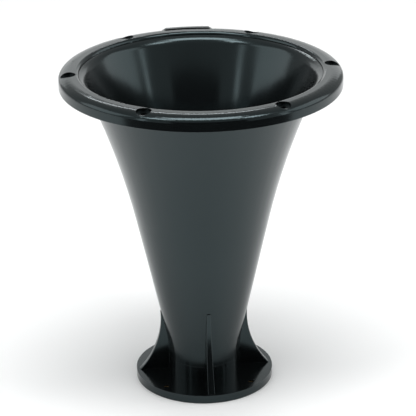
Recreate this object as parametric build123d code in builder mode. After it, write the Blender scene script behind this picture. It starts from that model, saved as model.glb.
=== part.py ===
from build123d import *
import math
import os

# A moulded horn flare in three bonded mouldings, with four metal inserts.
# +Z is the flare's axis and points out of the mouth. The origin is the centre
# of the throat face, which the flare stands on.

# Driving dimensions, in millimetres and degrees
face_height = 274.0          # throat face to the flat front face of the mouth ring
wall = 3.2                   # wall of the flare
throat_radius = 25.4         # 2 inch driver exit
throat_bend = 30.0           # bend from the throat into the cone, inside
cone_angle = 12.55           # half angle of the straight cone
cone_foot_height = 25.6      # the inner cone, run on down, is as wide as the throat here
collar_height = 20.0         # top of the collar
neck_bend = 115.0            # bend from the collar into the cone, outside
flare_height = 146.9         # top of the straight cone
flare_bend = 622.6           # bend of the long, gentle flare
flare_turn = 11.6            # how far the gentle flare turns
lip_bend = 8.5               # bend of the quick flare under the ring
lip_turn = 54.5              # how far the quick flare turns

rim_radius = 114.8           # mouth ring, outside
rim_depth = 12.3             # front face to the ring's rear edge
rim_wall = 3.2               # outer wall of the ring
roll_width = 9.5             # outer edge of the face rolls over: across
roll_drop = 5.4              # and along the axis
rear_round = 0.6             # rear edges of the ring's wall

screw_circle = 107.0         # radius of the circle of mouth screws
screw_count = 6
screw_hole = 5.3             # clearance for an M5 screw
recess_diameter = 12.2       # pocket for the screw's head
boss_diameter = 9.0          # post under each screw hole

rib_length = 43.7            # locating rib across the ring's +Y side
rib_inner = 109.0            # from the axis
rib_outer = 112.6
rib_rise = 0.5               # above the front face
rib_ramp = 3.4               # sloped end
rib_root = 1.5               # depth of its root below the front face

foot_radius = 58.0           # throat flange, outside
foot_thickness = 7.2
foot_top_round = 2.2
foot_bottom_round = 0.8
collar_fillet = 5.5          # collar into the flange
spigot_length = 6.0          # flare's spigot inside the collar
spigot_wall = 2.4

bolt_circle = 50.8           # radius: the 4 inch circle of large drivers
bolt_count = 4
insert_diameter = 8.0
insert_length = 6.0
insert_bore = 5.0            # M6 thread, at its minor diameter, and on through the flange
insert_lead = 0.4            # chamfer at each end of the thread

gusset_pair_count = 2        # opposite gussets in each pair
tall_angle = 90.0            # the pair along Y stands taller
tall_top = 73.0              # its top, above the throat face
tall_bend = 138.0            # its hollow outer edge
short_angle = 0.0            # the pair along X
short_top = 60.0
short_bend = 70.0
gusset_tip = 56.3            # root of each gusset in the flange, from the axis
gusset_land = 0.6            # flat top, from the cone to the hollow edge
gusset_width = 5.8           # at the flange
gusset_draft = 1.1           # each side leans in by this angle
gusset_round = 0.4           # along the hollow edge
gusset_root = 1.0            # depth of its root in the flange

# Worked out from the driving dimensions
rear_height = face_height - rim_depth
flange_radius = rim_radius - rim_wall
spigot_radius = throat_radius + spigot_wall
spigot_height = collar_height - spigot_length
bolt_start = 180 / bolt_count
root_height = foot_thickness - gusset_root
slope = math.radians(cone_angle)
throat_top = cone_foot_height - throat_bend * math.tan(slope / 2)


def neck_radius(depth, bend, start):
    """Radius where a neck of this bend starts upright, so that it ends on the cone at this depth."""
    cone_radius = throat_radius + (start - cone_foot_height) * math.tan(slope) + depth / math.cos(slope)
    return cone_radius + bend * (1 / math.cos(slope) - 1)


def flare_line(depth, bend, start):
    """Section of the flare from neck to lip, at a depth outside its inner surface."""
    neck = JernArc((neck_radius(depth, bend, start), start), (0, 1), bend, -cone_angle)
    rise = flare_height - depth * math.sin(slope) - start - bend * math.sin(slope)
    cone = PolarLine(neck @ 1, rise / math.cos(slope), direction=neck % 1)
    flare = JernArc(cone @ 1, cone % 1, flare_bend - depth, -flare_turn)
    lip = JernArc(flare @ 1, flare % 1, lip_bend - depth, -lip_turn)
    return cone, lip


with BuildLine(Plane.XZ):
    inner_lip = flare_line(0, throat_bend, throat_top)[1]
    outer_cone, outer_lip = flare_line(wall, neck_bend, collar_height)

collar_radius = neck_radius(wall, neck_bend, collar_height)
lip_end = inner_lip @ 1
under_end = outer_lip @ 1
seat_height = lip_end.Z                          # ring's plate sits on the flange here
under_height = under_end.Z                       # underside of the flange
plate_thickness = face_height - seat_height
face_start = lip_end.X + plate_thickness         # flat front face begins here
cone_foot = outer_cone @ 0
cone_slope = outer_cone % 0


def gusset_pair(angle, top, bend):
    """Two opposite drafted plates with a hollow outer edge, trimmed by the foot's core below."""
    land_end = cone_foot.X + (top - cone_foot.Z) * cone_slope.X / cone_slope.Z + gusset_land
    with BuildPart() as pair:
        with BuildSketch(Plane.XY.offset(root_height)):
            with PolarLocations(foot_radius / 2, gusset_pair_count, start_angle=angle):
                Rectangle(foot_radius, gusset_width)
        extrude(amount=top, taper=gusset_draft)
        with BuildSketch(Plane.XZ):
            with BuildLine():
                RadiusArc((gusset_tip, root_height), (land_end, top), bend)
                Polyline(
                    (land_end, top),
                    (0, top),
                    (0, root_height),
                    (gusset_tip, root_height),
                )
            make_face()
        revolve(axis=Axis.Z, mode=Mode.INTERSECT)
        hollow_faces = pair.faces().filter_by(GeomType.TORUS)
        hollow_edges = [edge for face in hollow_faces for edge in face.edges().sort_by(SortBy.LENGTH)[-2:]]
        fillet(hollow_edges, gusset_round)
    return pair.part


# Flare: spigot, cone, bell and the flange under the mouth ring, with six posts
with BuildPart() as flare_shell:
    with BuildSketch(Plane.XZ):
        with BuildLine():
            flare_line(0, throat_bend, throat_top)
            Polyline(
                (lip_end.X, seat_height),
                (flange_radius, seat_height),
                (flange_radius, under_height),
                (under_end.X, under_height),
            )
            flare_line(wall, neck_bend, collar_height)
            Polyline(
                (collar_radius, collar_height),
                (spigot_radius, collar_height),
                (spigot_radius, spigot_height),
                (throat_radius, spigot_height),
                (throat_radius, throat_top),
            )
        make_face()
    revolve(axis=Axis.Z)
    with BuildSketch(Plane.XY.offset(rear_height)):
        with PolarLocations(screw_circle, screw_count):
            Circle(boss_diameter / 2)
    extrude(amount=under_height - rear_height)
    with BuildSketch(Plane.XY.offset(rear_height)):
        with PolarLocations(screw_circle, screw_count):
            Circle(screw_hole / 2)
    extrude(amount=rim_depth, mode=Mode.SUBTRACT)


# Locating rib: an arc across the +Y side of the ring, with sloped ends
with BuildPart() as rib:
    with BuildSketch(Plane.XY.offset(face_height - rib_root)):
        Circle(rib_outer)
        Circle(rib_inner, mode=Mode.SUBTRACT)
    extrude(amount=rib_root + rib_rise)
    with BuildSketch(Plane.XZ):
        with BuildLine():
            Polyline(
                (-rib_length / 2, face_height - rib_root),
                (rib_length / 2, face_height - rib_root),
                (rib_length / 2 - rib_ramp, face_height + rib_rise),
                (-rib_length / 2 + rib_ramp, face_height + rib_rise),
                close=True,
            )
        make_face()
    extrude(amount=-rim_radius, mode=Mode.INTERSECT)


# Mouth ring: plate with a rounded lip, rolled outer edge and outer wall
with BuildPart() as mouth_ring:
    with BuildSketch(Plane.XZ) as ring_section:
        with BuildLine():
            CenterArc((face_start, seat_height), plate_thickness, 90, 90)
            Line((face_start, face_height), (rim_radius - roll_width, face_height))
            EllipticalCenterArc(
                (rim_radius - roll_width, face_height - roll_drop),
                roll_width,
                roll_drop,
                start_angle=0,
                arc_size=90,
            )
            Polyline(
                (rim_radius, face_height - roll_drop),
                (rim_radius, rear_height),
                (flange_radius, rear_height),
                (flange_radius, seat_height),
                (lip_end.X, seat_height),
            )
        make_face()
        fillet(ring_section.vertices().group_by(Axis.Y)[0], rear_round)
    revolve(axis=Axis.Z)
    add(rib.part)
    with BuildSketch(Plane.XY.offset(seat_height)):
        with PolarLocations(screw_circle, screw_count):
            Circle(recess_diameter / 2)
    extrude(amount=plate_thickness, mode=Mode.SUBTRACT)


# Gussets: a tall pair along Y and a short pair along X
tall_gussets = gusset_pair(tall_angle, tall_top, tall_bend)
short_gussets = gusset_pair(short_angle, short_top, short_bend)


# Throat flange: foot, collar and gussets, bored for the throat and the flare's spigot
with BuildPart() as throat_flange:
    with BuildSketch(Plane.XZ) as foot_section:
        with BuildLine():
            Polyline(
                (0, 0),
                (foot_radius, 0),
                (foot_radius, foot_thickness),
                (collar_radius, foot_thickness),
                (collar_radius, collar_height),
                (0, collar_height),
                close=True,
            )
        make_face()
        bottom_edge = foot_section.vertices().group_by(Axis.Y)[0].sort_by(Axis.X)[-1]
        collar_corner, top_edge = foot_section.vertices().group_by(Axis.Y)[1].sort_by(Axis.X)
        fillet(bottom_edge, foot_bottom_round)
        fillet(top_edge, foot_top_round)
        fillet(collar_corner, collar_fillet)
    revolve(axis=Axis.Z)
    add(tall_gussets)
    add(short_gussets)
    with BuildSketch(Plane.XZ):
        with BuildLine():
            flare_line(wall, neck_bend, collar_height)
            Polyline(
                (under_end.X, under_height),
                (0, under_height),
                (0, 0),
                (throat_radius, 0),
                (throat_radius, spigot_height),
                (spigot_radius, spigot_height),
                (spigot_radius, collar_height),
                (collar_radius, collar_height),
            )
        make_face()
    revolve(axis=Axis.Z, mode=Mode.SUBTRACT)
    with PolarLocations(bolt_circle, bolt_count, start_angle=bolt_start):
        Hole(insert_bore / 2)
    with BuildSketch():
        with PolarLocations(bolt_circle, bolt_count, start_angle=bolt_start):
            Circle(insert_diameter / 2)
    extrude(amount=insert_length, mode=Mode.SUBTRACT)


# Threaded inserts, pressed in flush with the throat face
with BuildPart() as throat_inserts:
    with BuildSketch():
        with PolarLocations(bolt_circle, bolt_count, start_angle=bolt_start):
            Circle(insert_diameter / 2)
            Circle(insert_bore / 2, mode=Mode.SUBTRACT)
    extrude(amount=insert_length)
    bore_rims = throat_inserts.edges().filter_by(
        lambda edge: edge.geom_type == GeomType.CIRCLE and edge.radius < insert_diameter / 2
    )
    chamfer(bore_rims, insert_lead)


flare_shell.part.label = "flare_shell"
mouth_ring.part.label = "mouth_ring"
throat_flange.part.label = "throat_flange"
throat_inserts.part.label = "throat_inserts"

os.makedirs("parts", exist_ok=True)
export_step(flare_shell.part, "parts/flare_shell.step")
export_step(mouth_ring.part, "parts/mouth_ring.step")
export_step(throat_flange.part, "parts/throat_flange.step")
export_step(throat_inserts.part, "parts/throat_inserts.step")
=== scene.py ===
import math

import bpy
from mathutils import Matrix, Vector


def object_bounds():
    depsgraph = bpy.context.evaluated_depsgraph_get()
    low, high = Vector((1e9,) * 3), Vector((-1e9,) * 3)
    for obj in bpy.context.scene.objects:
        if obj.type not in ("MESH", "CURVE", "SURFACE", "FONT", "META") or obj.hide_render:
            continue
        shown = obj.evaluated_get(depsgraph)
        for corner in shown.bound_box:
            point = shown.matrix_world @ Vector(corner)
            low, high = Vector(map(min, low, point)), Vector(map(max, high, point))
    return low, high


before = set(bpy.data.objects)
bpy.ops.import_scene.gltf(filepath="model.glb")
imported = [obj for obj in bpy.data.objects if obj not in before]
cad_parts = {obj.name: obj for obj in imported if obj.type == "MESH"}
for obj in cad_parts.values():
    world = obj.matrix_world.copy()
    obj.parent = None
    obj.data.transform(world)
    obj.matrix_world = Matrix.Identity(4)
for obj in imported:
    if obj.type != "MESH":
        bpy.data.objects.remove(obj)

cad_low, cad_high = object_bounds()

# Lengths are in metres and angles in degrees. Azimuth 0 is the -Y side, where the camera stands.

# Camera
camera_distance = 1.642       # from the aim point
camera_elevation = 23.14
camera_azimuth = -5.9
camera_roll = -0.71
camera_lens = 170.7           # on the default 36 mm sensor
camera_shift = (0.0128, 0.0407)
camera_reach = 100.0          # far clipping distance
aim_height = 0.1372           # point on the axis that the camera and the lights look at

# Studio: the floor and the room
floor_size = 12.0
floor_colour = (0.97, 0.97, 0.97, 1.0)
room_colour = (0.97, 1.0, 1.0, 1.0)
room_strength = 0.42
matt = 0.9                    # roughness of the floor and the flags

# Softboxes: azimuth, elevation, distance, width, height, radiance
softboxes = (
    ("left_box", -92, 26, 2.2, 1.6, 1.5, 1.3),
    ("right_box", 92, 26, 2.2, 1.6, 1.5, 1.3),
    ("left_strip", -52, 12, 2.2, 0.20, 1.5, 2.2),
    ("right_strip", 61, 12, 2.2, 0.20, 1.5, 2.2),
    ("left_top", -55, 60, 2.2, 0.55, 0.55, 7.5),
    ("right_top", 55, 60, 2.2, 0.55, 0.55, 7.5),
    ("back_box", 180, 13, 2.6, 3.0, 1.1, 0.75),
    ("top_box", 0, 84, 2.0, 1.1, 0.8, 7.0),
    ("back_spot", 180, 36, 2.4, 0.9, 0.16, 6.5),
)

# Dark flags on the camera's side, seen only in reflections: one stands and one lies on the floor
standing_flag = (0, 8, 2.2, 2.4, 1.7)        # azimuth, elevation, distance, width, height
lying_flag = (-0.34, -2.3, 2.4, 0.002)       # near edge, far edge, width, height above the floor
flag_colour = (0.02, 0.02, 0.022, 1.0)

# Plastic: each noise is its scale, detail and distortion
body_black = (0.0030, 0.0036, 0.0038, 1.0)
rubbed_black = (0.020, 0.022, 0.023, 1.0)
sheen_tint = (0.76, 1.0, 1.05, 1.0)
plastic_ior = 1.5
grain_noise = (1500.0, 3.0, 0.0)      # fine moulded grain
cloud_noise = (24.0, 4.0, 0.0)        # slow changes of gloss
wave_noise = (9.0, 1.0, 0.0)          # flow waves of the moulding
scuff_noise = (310.0, 5.0, 1.2)       # patches rubbed by handling
grain_bump = (0.22, 0.00002)          # strength, distance
wave_bump = (0.10, 0.0004)
cloud_range = (0.3, 0.7)
cloud_gloss = 0.025                   # roughness either side of the moulding's own
edge_radius = 0.0009
edge_samples = 4
edge_range = (0.995, 0.90)            # agreement of the rounded normal with the true one
scuff_range = (0.40, 0.62)
least_rub = 0.15                      # wear left on an edge between the scuffs
rub_roughness = 0.10                  # added where an edge is rubbed

# Brass
bright_brass = (0.74, 0.52, 0.24, 1.0)
dull_brass = (0.46, 0.30, 0.12, 1.0)
# Painted shade: the colour the brass is darkened to in the bore, where ambient occlusion is high
painted_bore_shade = (0.012, 0.009, 0.005, 1.0)
tarnish_noise = (420.0, 5.0, 0.0)
tarnish_range = (0.42, 0.66)
ring_scale = 900.0                    # lathe rings
ring_distortion = 0.6
ring_detail = 1.0
ring_bump = (0.35, 0.00002)
# Painted shade in the bore: the ambient occlusion's distance, samples and the span that is remapped to
# the darkening
shade_distance = 0.006
shade_samples = 8
shade_range = (0.35, 0.95)
polish_range = (0.35, 0.70)
polish_roughness = (0.22, 0.42)

# Sockets of the Mix node when it mixes colours
mix_first = 6
mix_second = 7
mix_result = 2


# Shader helpers

def new_material(name):
    """An empty node material and its node tree."""
    material = bpy.data.materials.new(name)
    material.use_nodes = True
    tree = material.node_tree
    tree.nodes.clear()
    return material, tree


def add_node(tree, kind, inputs=None, **settings):
    """Adds a node, sets its properties, and fills its inputs with values or links."""
    node = tree.nodes.new(kind)
    for name, value in settings.items():
        setattr(node, name, value)
    for name, value in (inputs or {}).items():
        if isinstance(value, bpy.types.NodeSocket):
            tree.links.new(value, node.inputs[name])
        else:
            node.inputs[name].default_value = value
    return node


def math_node(tree, operation, first, second):
    """One Math node; returns its output."""
    return add_node(tree, "ShaderNodeMath", {0: first, 1: second}, operation=operation).outputs[0]


def vector_math(tree, operation, first, second, result):
    """One Vector Math node; returns the named output."""
    node = add_node(tree, "ShaderNodeVectorMath", {0: first, 1: second}, operation=operation)
    return node.outputs[result]


def remap(tree, value, span, to_low, to_high):
    """Linear, clamped remapping of a value from a span."""
    sockets = {
        "Value": value,
        "From Min": span[0],
        "From Max": span[1],
        "To Min": to_low,
        "To Max": to_high,
    }
    return add_node(tree, "ShaderNodeMapRange", sockets).outputs["Result"]


def noise(tree, place, values):
    """Noise from its scale, detail and distortion; returns its factor."""
    scale, detail, distortion = values
    sockets = {"Vector": place, "Scale": scale, "Detail": detail, "Distortion": distortion}
    return add_node(tree, "ShaderNodeTexNoise", sockets).outputs["Fac"]


def bump(tree, height, values, under=None):
    """Bump from its strength and distance, over another bump if one is given; returns its normal."""
    strength, distance = values
    sockets = {"Strength": strength, "Distance": distance, "Height": height}
    if under is not None:
        sockets["Normal"] = under
    return add_node(tree, "ShaderNodeBump", sockets).outputs["Normal"]


def blend(tree, factor, first, second):
    """Mixes two colours by a factor; returns the mixed colour."""
    sockets = {"Factor": factor, mix_first: first, mix_second: second}
    return add_node(tree, "ShaderNodeMix", sockets, data_type="RGBA").outputs[mix_result]


def close_material(tree, sockets):
    """Adds the shader with these inputs and links it to the material's output."""
    shader = add_node(tree, "ShaderNodeBsdfPrincipled", sockets)
    add_node(tree, "ShaderNodeOutputMaterial", {"Surface": shader.outputs["BSDF"]})


# Materials

def black_plastic(name, gloss, offset):
    """Satin black moulded plastic: fine grain, cloudy gloss, flow waves and edges rubbed by handling."""
    material, tree = new_material(name)
    objects = add_node(tree, "ShaderNodeTexCoord").outputs["Object"]
    place = vector_math(tree, "ADD", objects, (offset, offset, offset), "Vector")

    # Edges: where a rounded normal leaves the true one
    rounded = add_node(tree, "ShaderNodeBevel", {"Radius": edge_radius}, samples=edge_samples)
    normal = add_node(tree, "ShaderNodeNewGeometry").outputs["Normal"]
    agreement = vector_math(tree, "DOT_PRODUCT", rounded.outputs["Normal"], normal, "Value")
    edge = remap(tree, agreement, edge_range, 0.0, 1.0)
    scuffs = remap(tree, noise(tree, place, scuff_noise), scuff_range, least_rub, 1.0)
    rubbed = math_node(tree, "MULTIPLY", edge, scuffs)

    clouds = noise(tree, place, cloud_noise)
    base = remap(tree, clouds, cloud_range, gloss - cloud_gloss, gloss + cloud_gloss)
    waves = bump(tree, noise(tree, place, wave_noise), wave_bump)
    close_material(tree, {
        "Base Color": blend(tree, rubbed, body_black, rubbed_black),
        "Roughness": math_node(tree, "ADD", base, math_node(tree, "MULTIPLY", rubbed, rub_roughness)),
        "IOR": plastic_ior,
        "Specular Tint": sheen_tint,
        "Normal": bump(tree, noise(tree, place, grain_noise), grain_bump, waves),
    })
    return material


def insert_brass(name):
    """Turned brass: lathe rings, patchy tarnish, and painted shade that darkens the colour in the bore
    where ambient occlusion is high.
    """
    material, tree = new_material(name)
    place = add_node(tree, "ShaderNodeTexCoord").outputs["Object"]
    tarnish = noise(tree, place, tarnish_noise)
    rings = add_node(
        tree,
        "ShaderNodeTexWave",
        {"Vector": place, "Scale": ring_scale, "Distortion": ring_distortion, "Detail": ring_detail},
        wave_type="BANDS",
        bands_direction="Z",
    ).outputs["Fac"]
    # Painted shade: ambient occlusion darkens the brass colour in the bore
    shade = add_node(
        tree,
        "ShaderNodeAmbientOcclusion",
        {"Distance": shade_distance},
        samples=shade_samples,
    ).outputs["AO"]
    brass = blend(tree, remap(tree, tarnish, tarnish_range, 0.0, 1.0), bright_brass, dull_brass)
    close_material(tree, {
        "Base Color": blend(tree, remap(tree, shade, shade_range, 0.0, 1.0), painted_bore_shade, brass),
        "Metallic": 1.0,
        "Roughness": remap(tree, tarnish, polish_range, *polish_roughness),
        "Normal": bump(tree, rings, ring_bump),
    })
    return material


def dress(node, material):
    """Puts a material in every slot of a CAD node."""
    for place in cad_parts[node].material_slots:
        place.material = material


# Each moulding has its own roughness, and its own place in the noise
dress("flare_shell", black_plastic("flare_black", gloss=0.17, offset=0.0))
dress("mouth_ring", black_plastic("ring_black", gloss=0.15, offset=1.7))
dress("throat_flange", black_plastic("foot_black", gloss=0.15, offset=3.1))
dress("throat_inserts", insert_brass("insert_brass"))


# Placing things round the object

def direction(azimuth, elevation):
    """Unit vector from the object towards an azimuth and an elevation."""
    turn = math.radians(azimuth)
    rise = math.radians(elevation)
    return Vector((
        math.sin(turn) * math.cos(rise),
        -math.cos(turn) * math.cos(rise),
        math.sin(rise),
    ))


def stand(thing, azimuth, elevation, distance, roll=0.0):
    """Places a thing round the aim point and turns its +Z away from it, level except for its roll."""
    back = direction(azimuth, elevation)
    turn = math.radians(azimuth)
    lean = math.radians(roll)
    level = Vector((math.cos(turn), math.sin(turn), 0))
    right = math.cos(lean) * level + math.sin(lean) * back.cross(level)
    facing = Matrix((right, back.cross(right), back)).transposed().to_4x4()
    aim = Vector((0, 0, aim_height))
    thing.matrix_world = Matrix.Translation(aim + back * distance) @ facing


def link_object(name, data):
    """A new object in the scene with this data."""
    thing = bpy.data.objects.new(name, data)
    bpy.context.scene.collection.objects.link(thing)
    return thing


def place_camera():
    """Camera round the object's axis, with its roll and its shift."""
    data = bpy.data.cameras.new("camera")
    data.lens = camera_lens
    data.shift_x, data.shift_y = camera_shift
    data.clip_end = camera_reach
    camera = link_object("camera", data)
    stand(camera, camera_azimuth, camera_elevation, camera_distance, camera_roll)
    bpy.context.scene.camera = camera


def place_softbox(name, azimuth, elevation, distance, width, height, radiance):
    """A rectangular area light that faces the object, set by the radiance of its surface."""
    data = bpy.data.lights.new(name, "AREA")
    data.shape = "RECTANGLE"
    data.size = width
    data.size_y = height
    data.energy = radiance * math.pi * width * height
    box = link_object(name, data)
    stand(box, azimuth, elevation, distance)
    box.visible_camera = False


def make_panel(name, width, height, material):
    """A flat rectangle with one material."""
    mesh = bpy.data.meshes.new(name)
    right = width / 2
    top = height / 2
    corners = [(-right, -top, 0), (right, -top, 0), (right, top, 0), (-right, top, 0)]
    mesh.from_pydata(corners, [], [(0, 1, 2, 3)])
    mesh.materials.append(material)
    panel = link_object(name, mesh)
    return panel


def matt_material(name, colour):
    """A plain matt surface for the studio."""
    material, tree = new_material(name)
    close_material(tree, {"Base Color": colour, "Roughness": matt})
    return material


def make_floor():
    """A plain pale floor, large enough to fill every view."""
    floor = make_panel("floor", floor_size, floor_size, matt_material("pale_floor", floor_colour))
    floor.location.z = cad_low.z


def hide_from_view(card):
    """Leaves a card in reflections only, so it blocks no light and isn't seen itself."""
    card.visible_camera = False
    card.visible_diffuse = False
    card.visible_shadow = False


def make_flags():
    """Dark cards on the camera's side, seen only in the gloss of the plastic."""
    material = matt_material("flag_black", flag_colour)
    azimuth, elevation, distance, width, height = standing_flag
    upright = make_panel("standing_flag", width, height, material)
    stand(upright, azimuth, elevation, distance)
    hide_from_view(upright)
    near, far, width, lift = lying_flag
    flat = make_panel("lying_flag", width, near - far, material)
    flat.location = (0, (near + far) / 2, cad_low.z + lift)
    hide_from_view(flat)


def make_world():
    """Even, pale surroundings."""
    world = bpy.data.worlds.new("studio")
    world.use_nodes = True
    tree = world.node_tree
    tree.nodes.clear()
    room = add_node(tree, "ShaderNodeBackground", {"Color": room_colour, "Strength": room_strength})
    add_node(tree, "ShaderNodeOutputWorld", {"Surface": room.outputs["Background"]})
    bpy.context.scene.world = world


place_camera()
for softbox in softboxes:
    place_softbox(*softbox)
make_floor()
make_flags()
make_world()
bpy.context.scene.view_settings.view_transform = "Standard"
